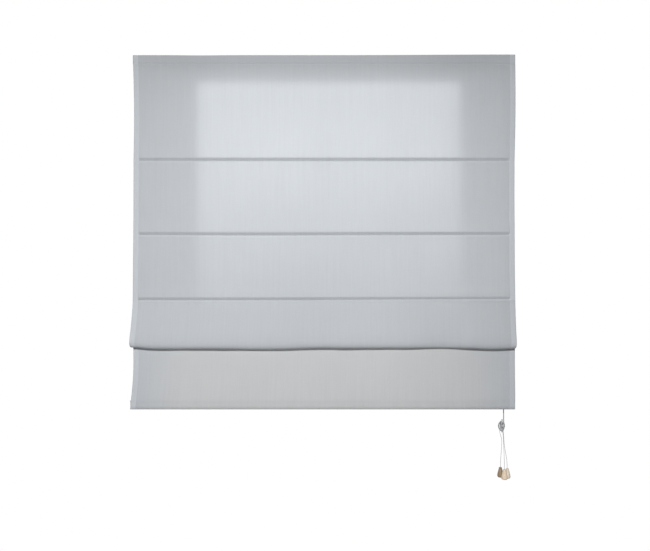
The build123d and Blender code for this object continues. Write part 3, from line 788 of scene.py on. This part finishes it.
def napped(name, tint, grain, strength):
    """Tape: a dense field of small hooks or loops, a little cloudy."""
    made = Finish(name, tint, 0.95, [("Sheen Weight", 0.3)])
    nap = made.cells(grain)
    cloudy = made.noise(made.place(), 60.0, 3.0)
    tone = made.weighted((nap, 0.7), (cloudy, 0.3))
    made.paint(tone, tint, (0.2, 1.05), (0.7, 0.72))
    made.bump(nap, strength, 0.0006)
    return made.material


def fibrous(name, tint):
    """Glass fibre: fine streaks along the rod under a dull resin."""
    made = Finish(name, tint, 0.45)
    streak = made.noise(made.place("Object", (8, 1600, 1600)), 1.0, 3.0)
    made.paint(streak, tint, (0.3, 0.85), (0.7, 1.08))
    made.bump(streak, 0.2, 0.0001)
    return made.material


def repaint(material, *names):
    """Give carried-over nodes of the model one material."""
    for name in names:
        slots = NODES[name].data.materials
        slots.clear()
        slots.append(material)


def stitches(shape, x, s, along_x, sizes):
    """Sewn stitches: small half-round beads on the cloth's face, each (long cos, wide sin) over an arch."""
    centre = shape.at(x, s)
    reach = 0.0005
    ahead = shape.at(x + reach * along_x, s + reach * (not along_x))
    side = shape.at(x + reach * (not along_x), s + reach * along_x)
    run = unit(ahead - centre)
    over = unit(side - centre)
    out = unit(np.cross(run, over))
    out *= np.where(out[:, 1:2] > 0, -1, 1)
    turn = np.linspace(0, 2 * math.pi, 8, endpoint=False)
    rings = [(1.0, -0.2), (0.8, 0.55), (0.0, 0.9)]
    long, wide, high = sizes.stitch / 2, sizes.thread * 0.8, sizes.thread
    base = np.array([
        [(r * np.cos(a) * long, r * np.sin(a) * wide, h * high) for a in turn]
        for r, h in rings
    ])
    local = base.reshape(-1, 3)
    axes = np.stack([run, over, out], axis=1)
    points = centre[:, None, :] + np.einsum("kj,njc->nkc", local, axes)
    blank = np.zeros((len(rings), len(turn) + 1, 2))
    _, quads, spots = grid(base, blank, wrap=True)
    count = len(local)
    quads = quads[None] + count * np.arange(len(centre))[:, None, None]
    return points.reshape(-1, 3), quads.reshape(-1, 4), np.tile(spots, (len(centre), 1))


class BLIND_OT_cloth(bpy.types.Operator):
    """Hang the cloth with its turned hems, its rod pockets and its stitching"""

    bl_idname = "blind.cloth"
    bl_label = "Cloth"

    HEM_ROUND = 0.00028
    HEM_STEPS = 7
    RETURN_COLUMNS = 5
    SEAM_SPAN = 0.006
    SEAM_COLUMNS = 9
    FRONT_COLUMNS = 248
    POCKET_COLUMNS = 110
    POCKET_SIDES = 20
    POCKET_INNER = 0.0032
    POCKET_OUTER = 0.0040
    POCKET_UNEVEN = 0.03
    POCKET_PITCH = 0.052
    STRIP_HEIGHT = 0.0150
    STRIP_ROWS = 15
    STRIP_BACK = 0.0007
    STRIP_WAVE = 0.0003
    STRIP_PITCH = 0.083
    STITCH_PITCH = 1.25
    STITCH_MARGIN = 0.004
    BOTTOM_SEAM_IN = 0.002

    def execute(self, context):
        sizes = context.scene.blind_cloth
        shape = ClothShape(sizes)
        cloth = self.sheet(shape, sizes, woven("woven_cloth", sizes.tint, sizes.glow, shape))
        pockets = self.pockets(shape, woven("pocket_cloth", sizes.tint, sizes.glow))
        sewing = self.sewing(shape, sizes)
        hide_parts("cloth")
        return {"FINISHED"}

    def sheet(self, shape, sizes, fabric):
        """The cloth over x and s, with a return behind each side edge joined by a half round fold."""
        bend = np.linspace(0, math.pi, self.HEM_STEPS)
        small = self.HEM_ROUND
        fold_x = -HALF_WIDTH + small - small * np.sin(bend)
        fold_back = small + small * np.cos(bend)
        inner = np.linspace(-HALF_WIDTH + sizes.side_hem, -HALF_WIDTH + small, self.RETURN_COLUMNS)[:-1]
        left_x = np.r_[inner, fold_x]
        left_back = np.r_[np.full(len(inner), 2 * small), fold_back]
        front = np.linspace(-HALF_WIDTH + small, HALF_WIDTH - small, self.FRONT_COLUMNS)[1:-1]
        seam = shape.side_seam + np.linspace(-self.SEAM_SPAN, self.SEAM_SPAN, self.SEAM_COLUMNS)
        front = np.unique(np.r_[front, seam, -seam])
        x = np.r_[left_x, front, -left_x[::-1]]
        back = np.r_[left_back, np.zeros(len(front)), left_back[::-1]]
        points = shape.at(x[None, :], shape.rows[:, None], back[None, :])
        across = np.r_[0, np.cumsum(np.hypot(np.diff(x), np.diff(back)))]
        uv = np.stack(np.meshgrid(across, shape.rows), axis=-1)
        return make_piece("hung_cloth", grid(points, uv), fabric)

    def pockets(self, shape, fabric):
        """Sewn sleeves round the rods: a ring of two walls carried along x, a little uneven."""
        x = np.linspace(-shape.half_tuck, shape.half_tuck, self.POCKET_COLUMNS)
        turn = np.linspace(0, 2 * math.pi, self.POCKET_SIDES, endpoint=False)
        angle = np.r_[turn, turn[::-1]]
        radius = np.r_[np.full(len(turn), self.POCKET_OUTER), np.full(len(turn), self.POCKET_INNER)]
        uneven = self.POCKET_UNEVEN * waves(x, [(self.POCKET_PITCH, 1, 2 * np.sin(11 * x))])
        wide = radius + uneven[:, None] * self.POCKET_OUTER * (radius > self.POCKET_INNER)
        girth = np.linspace(0, 2 * math.pi * self.POCKET_OUTER * 2, len(angle) + 1)
        sleeves = []
        for rod in RODS:
            y = rod[1] + wide * np.cos(angle)
            z = rod[2] + wide * np.sin(angle)
            points = np.stack([np.broadcast_to(x[:, None], y.shape), y, z], axis=-1)
            uv = np.stack(np.meshgrid(girth, x + rod[2]), axis=-1)[..., ::-1]
            sleeves.append(grid(points, uv, wrap=True))
            sleeves += [self.mouth(points[0], False), self.mouth(points[-1], True)]
        sleeves += [self.seam_strip(shape, x, rod) for rod in shape.rods[:3]]
        return make_piece("rod_pockets", join(sleeves), fabric)

    def seam_strip(self, shape, x, rod):
        """The sewn-down edge of a sleeve: a grid of x and s on the back of the cloth above the rod."""
        s = np.linspace(rod - self.STRIP_HEIGHT, rod - self.POCKET_INNER / 2, self.STRIP_ROWS)
        first = s[:, None] == s[0]
        wavy = s[:, None] + self.STRIP_WAVE * np.sin(2 * math.pi * x / self.STRIP_PITCH) * first
        points = shape.at(x[None, :], wavy, self.STRIP_BACK)
        uv = np.stack(np.meshgrid(x, s), axis=-1)
        return grid(points[::-1], uv[::-1])

    def mouth(self, ring, flip):
        """The cut end of a sleeve: quads between its outer and its inner ring."""
        half = self.POCKET_SIDES
        outer = np.vstack([ring[:half], ring[:1]])
        inner = ring[half:][::-1]
        inner = np.vstack([inner, inner[:1]])
        rows = np.stack([inner, outer] if flip else [outer, inner])
        return grid(rows, np.zeros((*rows.shape[:2], 2)))

    def sewing(self, shape, sizes):
        """Rows of stitches along the header and the hems. The side rows stop short of the creases."""
        pitch = sizes.stitch * self.STITCH_PITCH
        margin = self.STITCH_MARGIN
        wide = np.arange(-HALF_WIDTH + margin, HALF_WIDTH - margin, pitch)
        tall = np.arange(shape.top + margin, shape.foot - margin, pitch)
        clear = np.abs(tall[:, None] - shape.rods).min(axis=1) > sizes.tuck_reach * 0.5
        tall = tall[clear]
        levels = (shape.header_seam, shape.foot - sizes.bottom_hem + self.BOTTOM_SEAM_IN)
        rows = [stitches(shape, wide, np.full(len(wide), level), True, sizes) for level in levels]
        for side in (-1, 1):
            rows.append(stitches(shape, np.full(len(tall), side * shape.side_seam), tall, False, sizes))
        return make_piece("hem_stitches", join(rows), spun("sewing_thread", sizes.thread_tint))


class BLIND_OT_cords(bpy.types.Operator):
    """Run the lift cords from the lowest rings over the pulleys, round the cleat and down to the tassels"""

    bl_idname = "blind.cords"
    bl_label = "Cords"

    TURN_STEP = 30
    TURN_WOBBLE = 0.0005
    TURN_DROP = 0.003
    TIE_SIDES = 8
    KNOT_STEPS = 60
    KNOT_DEPTH = 1.1
    KNOT_THICKNESS = 0.47
    RING_KNOT = 0.00075
    RING_KNOT_DROP = 0.0025
    RING_IN = 0.001
    LOOP_STEPS = 36
    LOOP_HALF = 0.0023
    LOOP_SPARE = 0.0012
    LOOP_BACK = 0.0004
    END_WAY = (0.004, -0.0015, -0.009)
    END_BOW = 0.0012
    TASSEL_KNOT = 0.00080
    TASSEL_KNOT_DROP = 0.0028
    TASSEL_END_WAY = (0.001, -0.001, -0.007)

    def route(self, side):
        """Control points of one cord: knot, pulley, end pulley, turns round the cleat, tail."""
        x, lane, layer = COLUMN_X[side], LANE_Y[side], LAYER_Y[side]
        level, run, drop = CORD_LEVEL, PULLEY_RUN, CORD_DROP
        points = [
            (x, KNOT_SPOT[0], KNOT_SPOT[1]),
            (x, lane, level - run),
            (x, lane, level),
            (x + run, lane, level),
            (drop - run, lane, level),
            (drop, lane, level),
            (drop, lane, level - run),
        ]
        first, last, wide, tall, kept = TURNS[side]
        angle = np.radians(np.arange(first, last + 1, self.TURN_STEP))
        size = np.linspace(1, kept, len(angle))
        turns = np.stack([
            CLEAT[0] + wide * size * np.cos(angle),
            layer + self.TURN_WOBBLE * np.sin(angle * 0.5),
            CLEAT[2] - self.TURN_DROP - tall * size * np.sin(angle),
        ], axis=-1)
        return points + [tuple(point) for point in turns] + TAILS[side]

    def execute(self, context):
        sizes = context.scene.blind_cord
        braid = braided("braided_cord", sizes.tint, sizes.shade, sizes.braid)
        knots = self.knots(sizes, braid)
        for side in COLUMNS:
            line = spline_points(self.route(side))
            shape = tube(line, sizes.thickness / 2, sizes.sides, (0, 1, 0))
            cord = make_piece(f"pull_cord_{side}", shape, braid)
            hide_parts(f"lift_cord_{side}", f"cord_tail_{side}", "cord_winding")
        return {"FINISHED"}

    def overhand(self, centre, size, sizes):
        """An overhand knot: a trefoil, (sin t + 2 sin 2t, sin 3t, cos t - 2 cos 2t), as a closed tube."""
        t = np.linspace(0, 2 * math.pi, self.KNOT_STEPS, endpoint=False)
        across = np.sin(t) + 2 * np.sin(2 * t)
        line = np.stack([across, self.KNOT_DEPTH * np.sin(3 * t), np.cos(t) - 2 * np.cos(2 * t)], axis=-1)
        radius = sizes.thickness * self.KNOT_THICKNESS
        return tube(centre + size * line, radius, self.TIE_SIDES, (0, 1, 0), closed=True)

    def knots(self, sizes, braid):
        """Knots in the tassels' feet, and on the lowest rings a knot, its loop and its cut end."""
        ties = []
        knots = {}
        radius = sizes.thickness / 2
        t = np.linspace(0, 2 * math.pi, self.LOOP_STEPS, endpoint=False)[:, None]
        for side in COLUMNS:
            x = COLUMN_X[side]
            centre = np.array([x, KNOT_SPOT[0], KNOT_SPOT[1] - self.RING_KNOT_DROP])
            ring = np.array([x, corners(f"rings_{side}")[1][1] - self.RING_IN, RODS[3][2]])
            toward = unit(centre - ring)
            across = np.cross(toward, (1, 0, 0))
            between = (ring + centre) / 2 - self.LOOP_BACK * toward
            half = np.linalg.norm(centre - ring) / 2 + self.LOOP_SPARE
            loop = between + half * np.cos(t) * toward + self.LOOP_HALF * np.sin(t) * across
            end = centre + np.linspace(0, 1, 9)[:, None] * np.array(self.END_WAY)
            end[:, 0] += self.END_BOW * np.sin(np.linspace(0, 3, 9))
            ties.append(self.overhand(centre, self.RING_KNOT, sizes))
            ties.append(tube(loop, radius, self.TIE_SIDES, (1, 0, 0), closed=True))
            ties.append(tube(end, radius, self.TIE_SIDES, (0, 1, 0)))
        ring_ties = make_piece("ring_ties", join(ties), braid)
        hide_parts("ring_knots")
        for side in COLUMNS:
            across, deep, _ = middle(f"tassel_{side}")
            centre = np.array([across, deep, TAILS[side][-1][2] - self.TASSEL_KNOT_DROP])
            end = centre + np.linspace(0, 1, 7)[:, None] * np.array(self.TASSEL_END_WAY)
            knot = self.overhand(centre, self.TASSEL_KNOT, sizes)
            shape = join([knot, tube(end, radius, self.TIE_SIDES, (0, 1, 0))])
            knots[side] = make_piece(f"tassel_tie_{side}", shape, braid)
            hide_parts("tassel_knots")
        return knots


class BLIND_OT_bindings(bpy.types.Operator):
    """Bind each ring to its rod pocket with turns of thread"""

    bl_idname = "blind.bindings"
    bl_label = "Ring bindings"

    WRAPS = 6
    PITCH = 0.00058
    DEEP = 0.0021
    TALL = 0.00155
    STAGGER = 0.0001
    LEAN = 0.0002
    BACK = 0.0004
    THREAD = 0.75
    STEPS = 18
    SIDES = 6

    def execute(self, context):
        """Each turn is an ellipse round the pocket's seam: centre + (lean sin t, deep cos t, tall sin t)."""
        sizes = context.scene.blind_cloth
        t = np.linspace(0, 2 * math.pi, self.STEPS, endpoint=False)
        radius = sizes.thread * self.THREAD
        turns = []
        for side in COLUMNS:
            ring_front = corners(f"rings_{side}")[0][1]
            for rod in RODS:
                for number in range(self.WRAPS):
                    offset = (number - (self.WRAPS - 1) / 2) * self.PITCH
                    centre = np.array([COLUMN_X[side] + offset, ring_front + self.BACK, rod[2]])
                    tall = self.TALL + self.STAGGER * (number % 2)
                    turn = np.stack([self.LEAN * np.sin(t), self.DEEP * np.cos(t), tall * np.sin(t)], axis=-1)
                    turns.append(tube(centre + turn, radius, self.SIDES, (1, 0, 0), closed=True))
        make_piece("ring_bindings", join(turns), spun("binding_thread", sizes.thread_tint))
        return {"FINISHED"}


class BLIND_OT_fittings(bpy.types.Operator):
    """Finish the batten, tapes, rods, pulleys, cleat and tassels"""

    bl_idname = "blind.fittings"
    bl_label = "Fittings"

    # Lightness of the tassels from left to right, by red, green and blue: partly the wood's own variation and
    # partly painted shade, the left tassel darkened as if in the shadow of the others
    TASSEL_WOOD_AND_SHADE = {"left": (0.36, 0.32, 0.27), "centre": (1.05, 1.06, 1.10), "right": (1.03, 1.12, 1.28)}

    def execute(self, context):
        tints = context.scene.blind_fittings
        pine = wooden("pine_batten", tints.pine, tints.pine_grain, (1.2, 34, 34), 3.0, 0.6)
        repaint(pine, "head_batten")
        repaint(napped("hook_tape_nap", tints.tape, 900.0, 0.8), "hook_tape")
        repaint(napped("loop_tape_nap", shade(tints.tape, 1.06), 1500.0, 0.5), "loop_tape")
        repaint(fibrous("glass_fibre", tints.fibre), "rod_1", "rod_2", "rod_3", "rod_4")
        repaint(moulded("cap_plastic", shade(tints.nylon, 0.92), 0.42), "rod_caps")
        repaint(moulded("bar_plastic", tints.nylon, 0.5), "bottom_bar")
        repaint(moulded("cleat_plastic", tints.cleat, 0.45), "cleat")
        repaint(moulded("ring_plastic", tints.nylon, 0.3), *[f"rings_{side}" for side in COLUMNS])
        wheels = [f"{kind}_wheel_{side}" for side in COLUMNS for kind in ("pulley", "end")]
        repaint(moulded("wheel_nylon", shade(tints.nylon, 1.05), 0.38), *wheels)
        brackets = [f"pulley_bracket_{side}" for side in COLUMNS]
        repaint(plated("zinc_plate", tints.zinc, 0.34), "end_bracket", *brackets)
        pins = [f"pulley_pin_{side}" for side in COLUMNS]
        repaint(plated("bright_steel", shade(tints.zinc, 1.1), 0.25), "end_pin", "pulley_screws", *pins)
        # Copies of one wood, each lighter or darker, partly as painted shade
        for side, tone in self.TASSEL_WOOD_AND_SHADE.items():
            light, dark = shade(tints.tassel, tone), shade(tints.tassel_grain, tone)
            wood = wooden(f"tassel_wood_{side}", light, dark, (70, 70, 9), 2.2, 0.42)
            repaint(wood, f"tassel_{side}")
        return {"FINISHED"}


class BLIND_OT_stage(bpy.types.Operator):
    """Set the floor, the lamps, the white surroundings and the camera"""

    bl_idname = "blind.stage"
    bl_label = "Stage"

    SENSOR = 36
    # The floor's ends and number of rows across and in depth, and how plain it is to the camera
    FLOOR_X = (-3, 3, 13)
    FLOOR_Y = (-4, 0.8, 11)
    PLAIN_SHARE = 0.65
    KEY_ANGLE = 67
    KEY_RADIUS = 0.30
    KEY_PLACE = (-0.55, -4.6, 1.25)
    KEY_AIM = (-0.03, 0.0, -1.8)
    BACK_SIZE = (1.237, 1.05)
    BACK_EDGE = (0.023, -0.003, -0.109)
    FILL_SIZE = (1.76, 1.50)
    FILL_EDGE = (0.0, 0.09, -0.13)
    # Strength of the back lamp up its height: its ends, then the places between
    BACK_TONES = [(0.0, 0.18), (1.0, 1.5), (0.35, 0.55), (0.72, 1.0), (0.93, 1.0)]

    def execute(self, context):
        stage = context.scene.blind_stage
        self.floor(stage)
        self.surroundings(stage)
        self.key_lamp(stage)
        self.back_lamp(stage)
        self.fill_lamp(stage)
        data = bpy.data.cameras.new("camera")
        data.lens = stage.lens
        data.sensor_width = self.SENSOR
        camera = bpy.data.objects.new("camera", data)
        camera.location = (stage.camera_x, stage.camera_y, stage.camera_z)
        camera.rotation_euler = (math.pi / 2, 0, 0)
        context.scene.collection.objects.link(camera)
        context.scene.camera = camera
        context.scene.view_settings.view_transform = "Standard"
        return {"FINISHED"}

    def floor(self, stage):
        """A pale floor as a grid of x and y, faintly mottled, and mostly plain where the camera looks."""
        x, y = np.meshgrid(np.linspace(*self.FLOOR_X), np.linspace(*self.FLOOR_Y))
        points = np.stack([x, y, np.full_like(x, stage.floor_level)], axis=-1)
        made = Finish("pale_floor", stage.floor_tint, 0.8)
        made.paint(made.noise(made.place(), 2.0, 4.0), stage.floor_tint, (0.3, 0.98), (0.7, 1.02))
        seen = made.math("MULTIPLY", made.node("LightPath").outputs["Is Camera Ray"], self.PLAIN_SHARE)
        pale = made.node("Emission", Color=(*shade(stage.floor_tint, 1.1), 1), Strength=1.0)
        made.show("Material Output", seen, made.shader, pale)
        mesh = bpy.data.meshes.new("floor")
        spots, quads, _ = grid(points, np.zeros((*x.shape, 2)))
        mesh.from_pydata(spots.tolist(), [], quads[:, ::-1].tolist())
        mesh.materials.append(made.material)
        floor = bpy.data.objects.new("floor", mesh)
        bpy.context.scene.collection.objects.link(floor)

    def surroundings(self, stage):
        """White where the camera, a mirror or glass looks, and even soft light elsewhere."""
        world = bpy.data.worlds.new("surroundings")
        bpy.context.scene.world = world
        made = NodeTree(world)
        light = made.tree.nodes["Background"]
        light.inputs["Color"].default_value = (1, 1, 1, 1)
        light.inputs["Strength"].default_value = stage.ambient
        white = made.node("Background", Color=(1, 1, 1, 1), Strength=1.0)
        path = made.node("LightPath").outputs
        seen = made.math("SUBTRACT", path["Is Transmission Ray"], path["Is Diffuse Ray"])
        for look in ("Is Camera Ray", "Is Glossy Ray"):
            seen = made.math("MAXIMUM", seen, path[look])
        made.show("World Output", seen, light, white)

    def hang_lamp(self, data, place, aim):
        """Put a lamp at a place, facing a point. It isn't seen itself."""
        lamp = bpy.data.objects.new(data.name, data)
        lamp.location = place
        way = np.subtract(aim, place)
        flat = math.hypot(way[0], way[1])
        lamp.rotation_euler = (math.atan2(flat, -way[2]), 0, math.atan2(way[1], way[0]) - math.pi / 2)
        lamp.visible_camera = False
        bpy.context.scene.collection.objects.link(lamp)

    def key_lamp(self, stage):
        """A wide soft-edged spot above the camera, aimed low so that the foot of the blind isn't darker."""
        data = bpy.data.lights.new("key_lamp", "SPOT")
        data.energy = stage.key_power
        data.spot_size = math.radians(self.KEY_ANGLE)
        data.spot_blend = 1.0
        data.shadow_soft_size = self.KEY_RADIUS
        self.hang_lamp(data, self.KEY_PLACE, self.KEY_AIM)

    def light_panel(self, name, power, size, upper_edge):
        """A rectangle of light that faces forward, hung by the middle of its upper edge."""
        data = bpy.data.lights.new(name, "AREA")
        data.shape = "RECTANGLE"
        data.size, data.size_y = size
        data.energy = power
        x, y, top = upper_edge
        level = top - data.size_y / 2
        self.hang_lamp(data, (x, y, level), (x, -1.0, level))
        return data

    def back_lamp(self, stage):
        """A panel of light close behind the cloth, strong at its upper part and weaker towards its foot."""
        made = NodeTree(self.light_panel("back_lamp", stage.back_power, self.BACK_SIZE, self.BACK_EDGE))
        spot = made.node("NewGeometry").outputs["Parametric"]
        upward = made.node("SeparateXYZ", Vector=spot).outputs[1]
        strength = made.ramp(upward, [(place, (tone,) * 3) for place, tone in self.BACK_TONES])
        made.tree.links.new(strength, made.tree.nodes["Emission"].inputs["Strength"])

    def fill_lamp(self, stage):
        """A wide weak panel of light farther behind, for the whole back of the cloth."""
        self.light_panel("fill_lamp", stage.fill_power, self.FILL_SIZE, self.FILL_EDGE)


class BLIND_PT_panel(bpy.types.Panel):
    """Lists the pieces of the blind"""

    bl_idname = "BLIND_PT_panel"
    bl_label = "Roman Blind"
    bl_space_type = "VIEW_3D"
    bl_region_type = "UI"
    bl_category = "Blind"

    def draw(self, context):
        for kind in STEPS:
            self.layout.operator(kind.bl_idname)
        cloth, cord = context.scene.blind_cloth, context.scene.blind_cord
        for group, name in ((cloth, "tint"), (cloth, "glow"), (cord, "tint")):
            self.layout.prop(group, name)


STEPS = (BLIND_OT_cloth, BLIND_OT_bindings, BLIND_OT_cords, BLIND_OT_fittings, BLIND_OT_stage)
GROUPS = {
    "blind_cloth": BlindClothSettings,
    "blind_cord": BlindCordSettings,
    "blind_fittings": BlindFittingSettings,
    "blind_stage": BlindStageSettings,
}


def register():
    for name, group in GROUPS.items():
        bpy.utils.register_class(group)
        setattr(bpy.types.Scene, name, PointerProperty(type=group))
    for kind in (*STEPS, BLIND_PT_panel):
        bpy.utils.register_class(kind)


def unregister():
    for kind in (BLIND_PT_panel, *reversed(STEPS)):
        bpy.utils.unregister_class(kind)
    for name, group in GROUPS.items():
        delattr(bpy.types.Scene, name)
        bpy.utils.unregister_class(group)


def main():
    register()
    bpy.ops.blind.cloth()
    bpy.ops.blind.bindings()
    bpy.ops.blind.cords()
    bpy.ops.blind.fittings()
    bpy.ops.blind.stage()
    bpy.context.view_layer.update()


if __name__ == "__main__":
    main()
